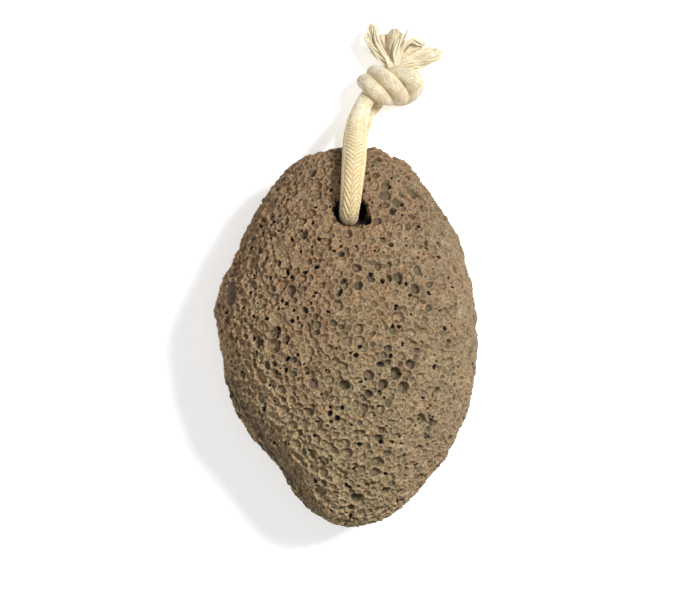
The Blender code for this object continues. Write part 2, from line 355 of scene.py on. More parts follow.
cord = {
    "step": 0.44,
    "carriers": 16,
    "columns": 8,
    "lay": 21.0,
    "relief": 0.10,
    "knotRelief": 0.18,
    "inset": 0.34,
    "fill": 1.04,
    "knotRadius": 2.38,
    "coreInset": 0.72,
    "coreSides": 14,
    "coreStep": 1.2,
    "facing": (2.1, 47.8, 25.2),
    "seed": 5,
    # a yarn's section, as share of the half width and height in mm
    "section": ((-1.0, -0.10), (-0.60, 0.17), (0.60, 0.17), (1.0, -0.10), (0.0, -0.28)),
    # from where to where outside the knot the braid loosens, as distance from its centre
    "loosens": (8.0, 14.0),
    # how near another stretch has to come, and how far along the cord it has to be, for painted crease shade
    "creaseReach": 5.0,
    "creaseApart": 9.0,
    "knotCentre": (11.4, 63.9, 7.1),
    "frontStrand": (
        (-6.2, -3.5, 1.8), (-4.6, -1.6, 0.8), (-2.4, 0.4, 0.0), (0.0, 2.1, 1.0), (2.3, 2.9, 2.4),
        (4.5, 2.0, 3.5), (5.6, 0.4, 2.9), (5.5, -1.0, 0.9), (4.1, -2.3, -1.2), (2.2, -1.6, -3.6),
        (0.0, 0.8, -4.5), (-2.4, 2.6, -3.5), (-4.1, 3.2, -0.8), (-3.8, 3.0, 1.8), (-2.3, 2.2, 3.8),
        (-0.5, 0.6, 4.7), (1.3, -1.2, 4.1), (2.4, -2.6, 2.0), (2.4, -2.4, -0.9), (1.5, 0.2, -1.9),
        (0.9, 2.8, -1.2), (0.9, 5.4, -0.8)),
    "backStrand": (
        (-4.6, -4.7, -3.9), (-2.6, -2.6, -3.2), (0.2, 0.2, -2.6), (2.6, 2.2, -1.6), (4.8, 2.7, -0.7),
        (6.3, 1.4, -0.5), (6.3, -0.4, -1.3), (4.5, -2.2, -3.0), (1.6, -2.6, -4.4), (-1.8, -1.4, -4.7),
        (-4.8, 0.2, -3.2), (-6.5, 1.1, -0.6), (-6.3, 0.8, 2.0), (-4.9, -0.9, 4.0), (-2.8, -2.3, 3.6),
        (-0.9, -3.0, 1.4), (0.2, -2.5, -1.4), (0.6, 0.3, -2.3), (0.4, 2.8, -2.0), (0.2, 5.4, -1.8)),
    "loop": (
        (3.8, 57.4, 10.4, 2.5), (2.9, 54.6, 13.6, 2.7), (2.4, 51.4, 19.2, 2.9),
        (2.1, 47.8, 25.2, 3.1), (1.9, 43.2, 30.4, 3.1), (1.5, 38.6, 33.7, 2.9), (1.1, 33.9, 35.1, 2.7),
        (0.7, 30.4, 33.5, 2.5), (0.6, 29.5, 28.0, 2.4), (0.3, 32.2, 20.0, 2.6), (-0.3, 34.6, 12.0, 2.8),
        (-0.6, 36.8, 6.2, 2.9), (-0.2, 40.6, 3.7, 3.0), (0.9, 44.8, 3.3, 3.0), (2.2, 49.5, 3.3, 3.0),
        (3.6, 54.0, 3.3, 2.8), (5.4, 57.4, 3.2, 2.5)),
    "exit": (2.4, 51.4, 19.2),
    "length": 0.212,
    "diameter": 0.006,
}


def cordRoute(step):
    centre = np.array(cord["knotCentre"])

    def strand(points):
        return [(*(centre + point), cord["knotRadius"]) for point in np.array(points)]

    front = strand(cord["frontStrand"])[::-1]
    back = strand(cord["backStrand"])
    return smoothRoute(front + list(cord["loop"]) + back, step)


# how much is blotched and dotted, and the colours of bright and shaded yarn, of painted crease shade and of
# specks and painted groove shade
cotton = {
    "braidCotton": {
        "blotched": 0.6, "dotted": 0.4, "bright": (1.0, 0.92, 0.65), "shaded": (0.76, 0.58, 0.31),
        "creaseShade": (0.88, 0.71, 0.42), "speckAndGrooveShade": (0.46, 0.32, 0.15)},
    "yarnCotton": {
        "blotched": 0.4, "dotted": 0.0, "bright": (0.90, 0.81, 0.58), "shaded": (0.64, 0.48, 0.27),
        "creaseShade": (0.64, 0.48, 0.27), "speckAndGrooveShade": (0.45, 0.31, 0.15)},
}


def cottonFinish(name):
    look = cotton[name]
    finish = Finish(name, Roughness=0.85, Sheen_Weight=0.15, Sheen_Roughness=0.5,
                    Subsurface_Weight=0.35, Subsurface_Scale=0.0010)
    finish.shader.inputs["Subsurface Radius"].default_value = (1.0, 0.95, 0.85)
    uv = finish.node("ShaderNodeUVMap", {"uv_map": "yarn"})
    fibres = finish.node("ShaderNodeMapping", {}, {"Vector": uv, "Scale": (1.1, 26.0, 1.0)})
    streak = finish.noise(fibres, 1.0, detail=3.0, roughness=0.6)
    where = finish.places()
    patch = finish.noise(where, 2.6, detail=3.0)
    fleck = finish.noise(where, 0.5, detail=1.0)
    speck = finish.noise(where, 0.9, detail=2.0, roughness=0.7)
    dots = finish.noise(where, 0.42, detail=0.0).between(0.63, 0.70)
    tone = finish.attribute("tone")
    depth = finish.attribute("depth")
    crease = finish.attribute("crease")
    axes = finish.node("ShaderNodeSeparateXYZ", {}, {0: where})
    legTint = axes.output("Y").between(57.0, 50.0) * 0.74  # the leg is yellower than the knot
    shade = patch.between(0.36, 0.62) * look["blotched"] + tone * 0.5 + legTint
    colour = finish.mix(shade, look["bright"], look["shaded"])
    colour = finish.mix(speck.between(0.60, 0.72) * 0.35, colour, look["speckAndGrooveShade"])
    # painted shade in the creases where the cord lies against itself
    colour = finish.mix(crease * 0.5, colour, look["creaseShade"])
    colour = finish.mix(dots * look["dotted"], colour, look["speckAndGrooveShade"])
    # painted shade in the grooves between yarns and deep inside the locks, broken up by specks
    colour = finish.mix(depth.between(0.25, 1.0) * speck.between(0.25, 0.75) * 0.40, colour, look["speckAndGrooveShade"])
    # brightness follows the fibres; the creases are painted a little darker still, as painted shade
    light = (0.84 + streak * 0.22 + fleck * 0.12) * (1 - crease * 0.04)
    finish.feed("Base Color", finish.brighten(colour, light))
    finish.feed("Normal", finish.bump(streak, 0.10, 0.7))
    return finish.material


def creases(rings, lengths, tree, lines):
    # 1 where the cord's surface lies against another stretch of the cord, where shade is painted
    along = distanceAlong(lines)
    middle = rings.mean(axis=1)
    near = np.zeros(len(middle))
    for i, place in enumerate(middle.tolist()):
        others = [far - lines[j, 3] for _, j, far in tree.find_range(place, cord["creaseReach"])
                  if abs(along[j] - lengths[i]) > cord["creaseApart"]]
        near[i] = min(others, default=cord["creaseApart"])
    return softStep(-near, -1.0, -0.15)[:, None]


def makeCord(finish):
    route = cordRoute(cord["step"])
    lengths = distanceAlong(route)
    start = int(np.argmin(np.linalg.norm(route[:, :3] - np.array(cord["facing"]), axis=1)))
    normals, across = routeFrames(route, start)
    carriers = cord["carriers"]
    away = np.linalg.norm(route[:, :3] - np.array(cord["knotCentre"]), axis=1)
    slack = cord["knotRelief"] + (1 - cord["knotRelief"]) * softStep(away, *cord["loosens"])
    lines = cordRoute(1.0)
    tree = treeOf(lines[:, :3])
    draw = np.random.default_rng(cord["seed"])
    shell = Shell()
    section = np.array(cord["section"])
    for family in (-1, 1):
        for carrier in range(carriers):
            turn = family * 2 * math.pi * (lengths - lengths[start]) / cord["lay"]
            angle = turn + 2 * math.pi * (carrier + 0.25 * family) / carriers
            over = np.tanh(2.0 * np.sin(angle * cord["columns"] / 2)) * -family * slack
            radius = route[:, 3] - cord["inset"] + cord["relief"] * over
            out = np.cos(angle)[:, None] * normals + np.sin(angle)[:, None] * across
            middle = route[:, :3] + out * radius[:, None]
            heading = unit(np.gradient(middle, axis=0))
            side = unit(np.cross(heading, out))
            top = np.cross(side, heading)
            slope = 1 / np.sqrt(1 + (2 * math.pi * radius / cord["lay"]) ** 2)
            half = cord["fill"] * math.pi * radius / carriers * slope
            high = section[None, :, 1] * (0.2 + 0.8 * slack[:, None])
            rings = (middle[:, None] + side[:, None] * (half[:, None] * section[None, :, 0])[:, :, None]
                     + top[:, None] * high[:, :, None])
            # how deep a point lies between the yarns, for the painted groove shade
            depth = (0.17 - section[None, :, 1] + 0.6 * cord["relief"] * (1 - over[:, None])) / 0.6
            depth = depth * (0.25 + 0.75 * slack[:, None])
            crease = creases(rings, lengths, tree, lines)
            shell.addRings(rings, lengths, depth=depth, crease=crease, tone=0.4 * draw.random())
    core = cordRoute(cord["coreStep"])
    core[:, 3] -= cord["coreInset"]
    # the core, deep inside the braid, gets the full painted groove shade
    shell.addRings(roundTube(core, cord["coreSides"]), distanceAlong(core), depth=1.0, crease=0.0, tone=0.2)
    piece = shell.make("braidedCord", finish)
    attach(piece, "root")
    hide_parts("cord", "knot")
    line = cordRoute(2.0)[:, :3] * millimetre
    print("cord line", round(float(distanceAlong(line)[-1]), 4), "m")
    return piece, [tuple(float(value) for value in point) for point in line]


# the frayed ends: locks of yarn that fan out of the knot

frays = {
    "seed": 21,
    "step": 0.55,
    "sides": 5,
    "wave": 0.30,
    "fibreRadius": 0.045,
    "fibres": 420,
    "packedSides": 20,
    # the middle of the knot's top, where all locks start
    "rootPlace": (12.0, 68.0),
    # golden angle in radians, from one yarn of a lock to the next
    "swirl": 2.39996,
    # name: yarns, yarn radius, tone, share of the lock that is filled solid,
    # and the points of its middle line as x, y, z and radius
    # the tone is partly the yarn's own; it is higher, as painted shade, for locks that lie lower, under or
    # behind
    "locks": {
        "outerLeft": (16, 0.26, 0.15, 0.65, (
            (11.2, 69.6, 7.0, 1.2), (8.8, 71.9, 7.0, 1.0), (6.4, 74.4, 6.6, 0.8), (5.1, 76.0, 6.2, 0.6),
            (5.4, 77.8, 6.0, 0.4))),
        "leftPanel": (20, 0.24, 0.45, 0.65, (
            (10.9, 70.0, 6.2, 1.2), (8.6, 73.0, 6.2, 1.0), (6.9, 76.2, 6.0, 0.9), (6.3, 78.4, 5.6, 0.9),
            (6.5, 80.2, 5.2, 0.7))),
        "leftBright": (6, 0.24, 0.0, 0.5, (
            (10.4, 70.6, 8.2, 0.6), (8.2, 74.2, 7.8, 0.4), (7.6, 76.8, 7.2, 0.3), (7.8, 79.0, 6.6, 0.2),
            (8.1, 80.7, 6.0, 0.2))),
        "tanBlock": (56, 0.12, 0.8, 0.96, (
            (11.4, 69.8, 5.4, 1.3), (10.5, 73.0, 5.0, 1.8), (9.9, 75.0, 4.8, 2.0), (9.6, 76.4, 4.6, 1.8),
            (9.5, 77.3, 4.4, 1.1))),
        "dome": (84, 0.075, 0.85, 0.98, (
            (11.9, 69.6, 6.0, 1.3), (11.8, 71.6, 6.1, 1.7), (12.1, 73.8, 6.2, 2.1), (12.3, 75.6, 6.0, 2.35),
            (12.4, 76.6, 5.8, 2.2), (12.4, 77.5, 5.6, 1.8), (12.4, 78.2, 5.4, 1.2), (12.4, 78.6, 5.2, 0.6),
            (12.4, 78.8, 5.1, 0.1))),
        "centreBright": (5, 0.25, 0.0, 0.5, (
            (12.6, 70.0, 8.2, 0.5), (12.4, 72.2, 8.8, 0.4), (12.9, 74.6, 9.0, 0.3), (14.0, 76.8, 8.8, 0.2))),
        "centreBrightTwin": (5, 0.25, 0.05, 0.5, (
            (13.0, 70.0, 8.2, 0.5), (13.0, 72.4, 9.0, 0.4), (13.9, 75.0, 9.2, 0.3), (14.8, 76.9, 9.2, 0.3))),
        "wisps": (4, 0.12, 0.3, 0.0, (
            (13.4, 70.2, 7.8, 0.5), (13.8, 73.8, 8.6, 0.4), (15.2, 77.0, 9.2, 0.3), (16.4, 79.4, 9.4, 0.3))),
        "petalRim": (12, 0.27, 0.15, 0.65, (
            (13.6, 70.4, 7.6, 0.7), (14.1, 72.6, 8.4, 0.5), (15.0, 74.4, 8.8, 0.5), (16.6, 75.6, 8.4, 0.5),
            (18.4, 75.2, 7.6, 0.6), (20.2, 74.2, 7.0, 0.6))),
        "petalBack": (24, 0.27, 0.8, 0.65, (
            (13.6, 70.2, 5.6, 1.0), (15.0, 72.4, 5.6, 1.2), (17.0, 73.9, 5.6, 1.2), (19.4, 73.9, 5.4, 0.9))),
        "brushTop": (18, 0.29, 0.1, 0.45, (
            (13.8, 69.8, 7.6, 0.9), (17.0, 71.2, 8.0, 0.8), (20.4, 72.5, 7.4, 0.8), (23.4, 73.1, 6.8, 0.7))),
        "brushMiddle": (22, 0.29, 0.1, 0.45, (
            (14.0, 69.6, 7.2, 1.0), (17.8, 70.9, 7.6, 0.9), (21.4, 71.9, 6.8, 0.9), (24.8, 72.6, 6.0, 0.7))),
        "brushLow": (16, 0.29, 0.25, 0.45, (
            (14.4, 69.2, 6.4, 0.9), (18.0, 70.1, 6.4, 0.8), (21.4, 71.0, 5.8, 0.7), (24.4, 71.9, 5.2, 0.6))),
        "brushUnder": (14, 0.28, 0.6, 0.65, (
            (14.2, 68.8, 5.2, 0.9), (17.4, 69.4, 4.6, 0.8), (20.2, 70.2, 4.2, 0.7), (22.4, 71.0, 4.0, 0.6))),
    },
}


def makeFrays(finish):
    draw = np.random.default_rng(frays["seed"])
    shell = Shell()
    ends = []
    for name, (yarns, thickness, tone, heart, points) in frays["locks"].items():
        first = points[0]
        x, y = frays["rootPlace"]
        root = (x + 0.4 * (first[0] - x), y, 3.6 + 0.45 * first[2], 0.9 * first[3])
        route = smoothRoute((root,) + points, frays["step"])
        lengths = distanceAlong(route)
        normals, across = routeFrames(route)
        calm = name == "dome"
        # deeper inside a lock near its root, for painted shade
        inDeep = np.clip(0.75 - lengths[:, None] / 8.0, 0, 1) * (0.4 + 0.6 * tone)
        if heart:
            packed = route * (1.0, 1.0, 1.0, heart)
            shell.addRings(
                roundTube(packed, frays["packedSides"]), lengths, tone=tone, crease=0.0, depth=inDeep)
        for yarn in range(yarns):
            reach = math.sqrt(heart ** 2 + (1 - heart ** 2) * (yarn + 0.5) / yarns)
            swirl = yarn * frays["swirl"] + draw.uniform(-0.3, 0.3)
            twist = draw.uniform(-0.5, 0.5) * lengths / max(lengths[-1], 1.0)
            phase = draw.uniform(0, 2 * math.pi, 4)
            pace = draw.uniform(0.35, 0.8, 2)
            wave = frays["wave"] * np.minimum(lengths / 4.0, 1.0) * (0.4 if calm else 1.0)
            u = route[:, 3] * reach * np.cos(swirl + twist) + wave * np.sin(pace[0] * lengths + phase[0])
            v = route[:, 3] * reach * np.sin(swirl + twist) + wave * np.sin(pace[1] * lengths + phase[1])
            middle = route[:, :3] + normals * u[:, None] + across * v[:, None]
            last = max(4, int(round(len(route) * draw.uniform(0.98 if calm else 0.88, 1.0))))
            middle = middle[:last]
            radius = np.full(last, thickness * draw.uniform(0.85, 1.1))
            radius[-2:] *= (0.85, 0.5)
            tube = np.hstack([middle, radius[:, None]])
            shade = np.clip(tone + draw.uniform(-0.15, 0.2), 0, 1)
            shell.addRings(roundTube(tube, frays["sides"]), lengths[:last], tone=shade, crease=0.0,
                           depth=inDeep[:last])
            ends.append((middle, tone))
    for _ in range(frays["fibres"]):
        middle, tone = ends[draw.integers(len(ends))]
        at = draw.integers(2, len(middle))
        heading = unit(middle[at] - middle[at - 1])
        drift = unit(heading + draw.normal(0, 0.35, 3))
        bend = draw.normal(0, 0.35, 3)
        bend[2] *= 0.5
        long = draw.uniform(1.0, 3.2)
        t = np.linspace(0, 1, 7)[:, None]
        points = middle[at] + drift * t * long + bend * t * t * long * 0.5
        radius = frays["fibreRadius"] * (1 - 0.5 * t)
        shell.addRings(roundTube(np.hstack([points, radius]), 3), t[:, 0] * long, tone=tone * 0.5,
                       crease=0.0, depth=0.0)
    piece = shell.make("frayedYarn", finish)
    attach(piece, "root")
    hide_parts("frayed_ends")
    return piece


braidedCord, cordLine = makeCord(cottonFinish("braidCotton"))
frayedYarn = makeFrays(cottonFinish("yarnCotton"))
print("cord made")


# the stone: a lump of lava full of broken bubbles

stone = {
    "seed": 7,
    "formVoxel": 1.0,
    "formSmoothing": 5,
    "levels": 2,
    "warp": ((1.5, 0.20), (2.8, 0.42), (7.0, 0.8)),
    "warpShifts": ((0.0, 0.0, 0.0), (31.0, 7.0, 3.0), (5.0, 43.0, 17.0)),
    # the lower left side: its direction, the direction of its edge,
    # from where to where in mm its cells are drawn out, and how much
    "flankAcross": (-0.85, -0.53, 0.0),
    "flankAlong": (0.53, -0.85, 0.0),
    "flankFrom": (27.0, 33.0),
    "flankDrawn": 0.45,
    # smallest and largest radius in mm, how many at most, and the overlap allowed
    "cells": ((1.5, 2.1, 40, 0.15), (1.05, 1.5, 800, 0.30), (0.72, 1.05, 4500, 0.36),
              (0.46, 0.72, 9000, 0.36), (0.30, 0.46, 12000, 0.34)),
    "cellDepth": (0.42, 0.92),
    "wallPower": (3.0, 6.5),
    # towards the right edge the cells are shallower, from and to in mm
    "softSide": (22.0, 30.0),
    "softening": 0.5,
    # share of the cells that are open, with floors dark from stain and painted shade, and how much deeper
    # they are
    "openCells": (0.13, 1.9),
    "lumps": ((5.0, 0.45), (2.4, 0.28), (1.5, 0.12)),
    "swell": 0.28,
    "grain": ((1.2, 0.13), (0.6, 0.08)),
    "cordRoom": (3.2, 6.0),
    "pinholes": 1000,
    "pinholeRadius": (0.25, 0.55),
    "pinholePatch": 5.0,
    "holeMouth": (1.3, 29.9, 34.0),
    "holeSlope": (-0.052, 0.240),
    "holeRadii": (4.0, 2.85),
    # a pit's depth as share of its radius, and how much more in mm
    "pitDepth": (1.5, 0.3),
    # pits from this radius on get less painted black shade, and how black it is
    "widePit": 0.8,
    "wideBlack": 0.5,
    # pits above this radius have a dark floor, part stain and part painted shade
    "stainedShadedPit": 0.6,
    "dishDepth": 0.30,
    # dishes left of this x have a dark floor
    "darkDishes": -28.0,
    # how often the depth is averaged with its neighbours to find broad and narrow hollows
    "broadTimes": 14,
    "narrowTimes": 3,
    "faces": 196000,
    "spareFactor": 0.0004,
    # landmarks, as x, y and radius in mm
    "openPits": (
        (11.5, 30.7, 1.0), (13.7, 32.1, 0.6), (19.8, 22.9, 0.85), (19.9, 21.8, 0.85), (22.7, 19.5, 0.6),
        (5.9, 15.1, 0.7), (12.9, 13.1, 0.7), (8.7, 13.5, 0.7), (14.5, 12.9, 0.7), (20.1, 10.7, 0.7),
        (12.1, 7.5, 0.7), (24.1, 1.9, 0.7), (3.3, -2.2, 0.7), (2.2, -4.2, 0.7), (10.7, -4.4, 0.7),
        (8.4, -6.5, 1.0), (14.9, -6.2, 0.9), (21.5, -7.5, 0.7), (5.5, -13.6, 0.9), (21.4, -13.9, 1.0),
        (22.3, -13.0, 1.0), (20.8, -20.9, 1.0), (8.6, -25.6, 0.7), (3.3, -26.0, 0.7), (0.7, -36.8, 0.7),
        (-16.2, 33.2, 0.5), (-7.6, 31.5, 0.5), (-4.0, 31.8, 0.5), (-21.4, 27.5, 0.5), (-17.9, 28.2, 0.7),
        (-18.4, 27.3, 0.6), (-20.7, 25.6, 1.0), (-21.0, 24.6, 0.9), (-16.6, 25.8, 0.5), (-23.8, 21.9, 0.5),
        (-26.4, 18.0, 0.5), (-19.5, 19.2, 0.6), (-16.5, 18.0, 0.8), (-11.1, 20.8, 0.5), (-6.7, 23.6, 0.6),
        (-1.2, 19.9, 0.9), (-3.1, 20.9, 0.5), (-9.9, 15.7, 0.7), (-7.3, 17.1, 0.7), (-18.5, 14.3, 0.5),
        (-15.1, 14.5, 0.6), (-0.8, 13.5, 1.0), (-7.3, 10.8, 0.5), (-1.6, 10.8, 0.8), (-23.4, 10.7, 0.5),
        (-25.2, 7.3, 0.6), (-9.9, 6.6, 0.9), (-8.6, 8.2, 0.5), (-15.5, 8.7, 0.6), (-22.7, 4.9, 0.6),
        (-19.5, 4.4, 0.6), (-13.2, 3.9, 0.6), (-24.6, 2.2, 0.5), (-21.6, -3.9, 0.7), (-20.5, -1.1, 0.7),
        (-14.3, -5.2, 0.7), (-20.1, -17.8, 0.7), (-14.9, -26.4, 0.9), (-1.0, -17.1, 0.7),
        (-4.0, -18.3, 0.7), (-2.1, -19.8, 0.7), (-9.0, -27.6, 0.7), (-7.6, -35.4, 0.7)),
    "dishes": (
        (-16.6, 4.9, 2.1), (-15.8, 20.8, 2.2), (-18.6, 30.8, 1.2), (-0.6, 17.3, 1.6), (-13.0, 6.4, 1.7),
        (-11.6, 18.2, 1.7), (-10.6, 35.1, 1.5), (-18.9, 30.7, 1.2), (-14.6, -7.3, 1.7), (21.9, -13.4, 1.9),
        (15.3, -26.8, 1.7), (21.6, -10.5, 1.5), (-28.3, 12.2, 2.5), (-28.4, 9.4, 2.6)),
}


def surfaceOf(mesh):
    count = len(mesh.vertices)
    places = np.zeros(count * 3)
    normals = np.zeros(count * 3, np.float32)
    mesh.vertices.foreach_get("co", places)
    mesh.vertex_normals.foreach_get("vector", normals)
    return places.reshape(-1, 3) / millimetre, normals.reshape(-1, 3).astype(float)


def blurred(values, edges, times):
    share = np.zeros(len(values))
    np.add.at(share, edges.reshape(-1), 1.0)
    for _ in range(times):
        total = np.zeros(len(values))
        np.add.at(total, edges[:, 0], values[edges[:, 1]])
        np.add.at(total, edges[:, 1], values[edges[:, 0]])
        values = 0.5 * values + 0.5 * total / share
    return values


def warpedPlaces(places):
    moved = places.copy()
    for size, amount in stone["warp"]:
        for axis, shift in enumerate(stone["warpShifts"]):
            drift = [noise.noise(Vector(point) / size + Vector(shift)) for point in places.tolist()]
            moved[:, axis] += amount * np.array(drift)
    # the lower left side is drawn out along its edge
    along = np.array(stone["flankAlong"])
    across = softStep(places @ np.array(stone["flankAcross"]), *stone["flankFrom"])
    weight = across * softStep(-places[:, 1], -4.0, 8.0)
    return moved - stone["flankDrawn"] * (weight * (moved @ along))[:, None] * along


class Cells:
    # broken bubbles, pressed into a surface of many points
    def __init__(self, places, normals):
        self.places = places
        self.normals = normals
        self.warped = warpedPlaces(places)
        self.tree = treeOf(self.warped)
        self.clearance = np.full(len(places), 9.0)
        self.depth = np.zeros(len(places))
        self.tone = np.full(len(places), 0.5)
        self.poreShade = np.zeros(len(places))
        self.stainAndShade = np.zeros(len(places))

    def around(self, index, reach):
        found = self.tree.find_range(self.warped[index], reach)
        near = np.array([(i, far) for _, i, far in found])
        return near[:, 0].astype(int), near[:, 1]

    def press(self, index, radius, depth, power, tone, margin):
        # a rounded hollow; its share of the way to the rim is given back for each point near it
        near, far = self.around(index, radius + margin)
        self.clearance[near] = np.minimum(self.clearance[near], far - radius)
        share = np.minimum(far / radius, 1.0)
        hollow = depth * (1 - share ** power)
        deeper = (hollow > self.depth[near]) & (share < 1)
        self.depth[near[deeper]] = hollow[deeper]
        self.tone[near[deeper]] = tone
        return near, share

    def nearestTo(self, x, y):
        flat = np.hypot(self.places[:, 0] - x, self.places[:, 1] - y) + 50 * (self.normals[:, 2] < 0.1)
        return int(np.argmin(flat))


def stoneForm():
    # the solid's facets, smoothed into fine faces
    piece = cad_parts["stone"].copy()
    piece.data = piece.data.copy()
    piece.name = "lavaStone"
    piece.parent = None
    bpy.context.scene.collection.objects.link(piece)
    pick(piece)
    bpy.ops.object.mode_set(mode="EDIT")
    bpy.ops.mesh.select_all(action="SELECT")
    bpy.ops.mesh.remove_doubles(threshold=0.00001)
    bpy.ops.object.mode_set(mode="OBJECT")
    applyModifier(piece, "REMESH", mode="VOXEL", voxel_size=stone["formVoxel"] * millimetre)
    applyModifier(piece, "SMOOTH", factor=0.5, iterations=stone["formSmoothing"])
    applyModifier(piece, "SUBSURF", levels=stone["levels"], render_levels=stone["levels"])
    print("stone form", len(piece.data.vertices), "points")
    return piece


def pressLandmarks(cells, draw):
    for x, y, radius in stone["openPits"]:
        index = cells.nearestTo(x, y)
        depth = stone["pitDepth"][0] * radius + stone["pitDepth"][1]
        near, share = cells.press(index, radius, depth, 3.0, 0.5, 0.4)
        # painted shade: the pit's floor is marked for black, less for wide pits
        black = 1.0 if radius < stone["widePit"] else stone["wideBlack"]
        cells.poreShade[near] = np.maximum(cells.poreShade[near], (1 - share ** 3) * black)
        # the pit's floor gets stain and painted shade
        cells.stainAndShade[near] = (1 - share ** 4) * (radius > stone["stainedShadedPit"])
    for x, y, radius in stone["dishes"]:
        index = cells.nearestTo(x, y)
        margin, dark = (1.0, 1.0) if x < stone["darkDishes"] else (0.5, 0.25)
        near, share = cells.press(index, radius, stone["dishDepth"] * radius, 4.0, draw.random(), margin)
        cells.stainAndShade[near] = np.maximum(cells.stainAndShade[near], (1 - share ** 6) * dark)


def pressBubbles(cells, strength, draw):
    # fills the surface with cells, the largest first; the last order of the points is given back
    order = draw.permutation(len(cells.places))
    for smallest, largest, most, overlap in stone["cells"]:
        made = 0
        for index in order[cells.clearance[order] > smallest * (1 - overlap)]:
            radius = draw.uniform(smallest, largest)
            if cells.clearance[index] < radius * (1 - overlap):
                continue
            depth = radius * draw.uniform(*stone["cellDepth"]) * strength[index]
            power, tone = draw.uniform(*stone["wallPower"]), draw.random()
            share, deeper = stone["openCells"]
            opened = draw.random() < share and radius > 0.4
            if opened:
                depth *= deeper
            near, reach = cells.press(index, radius, depth, power, tone, largest)
            if opened:
                # the open cell's floor is darkened by stain and painted shade
                dark = draw.uniform(0.4, 1.0) * (1 - reach ** 4)
                cells.stainAndShade[near] = np.maximum(cells.stainAndShade[near], dark)
            made += 1
            if made == most:
                break
        print("cells of", smallest, "to", largest, "mm:", made)
        order = draw.permutation(order)
    return order


def pressPinholes(cells, order, draw):
    made = 0
    for index in order:
        if made == stone["pinholes"]:
            break
        patch = noise.noise(Vector(cells.places[index].tolist()) / stone["pinholePatch"])
        if cells.poreShade[index] > 0.02 or patch < draw.uniform(-0.5, 0.4):
            continue
        radius = stone["pinholeRadius"][0] + np.ptp(stone["pinholeRadius"]) * draw.random() ** 2
        near, far = cells.around(index, radius)
        share = far / radius
        cells.depth[near] += 1.7 * radius * (1 - share ** 2) ** 0.5
        # painted shade: the pinhole is marked for a black floor
        cells.poreShade[near] = np.maximum(cells.poreShade[near], 1 - share ** 4)
        made += 1


def insideHole(places):
    # 1 on the walls of the drilled hole, a leaning oval bore; they are painted near black as shade
    below = stone["holeMouth"][2] - places[:, 2]
    aside = places[:, :2] - np.array(stone["holeMouth"][:2]) - below[:, None] * np.array(stone["holeSlope"])
    aside = np.sum(np.abs(aside / np.array(stone["holeRadii"])) ** 3, axis=1) ** (1 / 3)
    return softStep(-aside, -1.10, -0.94) * softStep(below, -1.0, 1.0)


def thinOut(piece, normals):
    # the underside keeps somewhat fewer faces
    group = piece.vertex_groups.new(name="spare")
    spare = np.round(0.3 + 0.7 * softStep(-normals[:, 2], -0.1, 0.4), 2)
    for share in np.unique(spare):
        group.add(np.flatnonzero(spare == share).tolist(), float(share), "REPLACE")
    triangles = 2 * len(piece.data.polygons)
    applyModifier(piece, "DECIMATE", ratio=stone["faces"] / triangles, vertex_group="spare",
                  vertex_group_factor=stone["spareFactor"])
    piece.vertex_groups.clear()


def makeStone(finish):
    piece = stoneForm()
    mesh = piece.data
    places, normals = surfaceOf(mesh)
    draw = np.random.default_rng(stone["seed"])
    cells = Cells(places, normals)
    softness = softStep(places[:, 0] * 0.95 + places[:, 1] * 0.1, *stone["softSide"])
    pressLandmarks(cells, draw)
    order = pressBubbles(cells, 1 - stone["softening"] * softness, draw)
    pressPinholes(cells, order, draw)
    edges = np.zeros(len(mesh.edges) * 2, np.int32)
    mesh.edges.foreach_get("vertices", edges)
    edges = edges.reshape(-1, 2)
    points = [Vector(place) for place in places.tolist()]
    for size, amount in stone["grain"]:
        cells.depth += amount * np.array([noise.noise(point / size) for point in points])
    ridge = blurred(cells.depth, edges, stone["broadTimes"]) - cells.depth
    rim = blurred(cells.depth, edges, stone["narrowTimes"]) - cells.depth
    line = treeOf(cordRoute(1.0)[:, :3])
    room = softStep(np.array([line.find(point)[2] for point in points]), *stone["cordRoom"])
    lump = np.zeros(len(points))
    for size, amount in stone["lumps"]:
        lump += amount * np.array([noise.noise(point / size + Vector((9.0, 2.0, 5.0))) for point in points])
    moved = places + normals * ((lump + stone["swell"]) * room - cells.depth)[:, None]
    moved[:, 2] = np.maximum(moved[:, 2], 0.0)
    mesh.vertices.foreach_set("co", (moved * millimetre).reshape(-1))
    attributes = {"ridge": ridge / 0.3, "rim": rim / 0.06, "poreShade": cells.poreShade, "tone": cells.tone,
                  "stainAndShade": cells.stainAndShade, "holeShade": insideHole(places)}
    for name, values in attributes.items():
        attribute = mesh.attributes.new(name, "FLOAT", "POINT")
        attribute.data.foreach_set("value", values.astype(np.float32))
    mesh.update()
    thinOut(piece, normals)
    piece.data.materials.clear()
    piece.data.materials.append(finish)
    bpy.ops.object.shade_smooth()
    print("stone", len(piece.data.polygons), "faces")
    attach(piece, "root")
    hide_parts("stone")
    return piece


lava = {
    "tan": (0.270, 0.197, 0.108),
    "pinkTan": (0.298, 0.189, 0.103),
    "rightTan": (0.295, 0.206, 0.126),
    "rust": (0.33, 0.165, 0.080),
    "olive": (0.20, 0.185, 0.110),
    "dullCell": (0.20, 0.162, 0.092),
    "paleCell": (0.38, 0.290, 0.170),
    # a ruddy oval patch, partly the stone's own colour and partly painted shade on the form's bright crest:
    # colour, centre and half widths in mm
    "ruddy": (0.24, 0.148, 0.082),
    "ruddyCentre": (-10.0, 3.0),
    "ruddyReach": (10.0, 27.0),
    "paleGrain": (0.48, 0.40, 0.28),
    "darkGrain": (0.10, 0.075, 0.050),
    "streak": (0.060, 0.045, 0.035),
    # floors of open cells, pits and dishes: their purple and olive colour, dark partly as painted shade
    "purpleFloor": (0.085, 0.058, 0.052),
    "oliveFloor": (0.085, 0.078, 0.045),
    # near black, painted shade inside pits and pinholes
    "poreShade": (0.008, 0.006, 0.005),
    # near black, painted shade on the walls of the drilled hole
    "hole": (0.006, 0.005, 0.004),
}


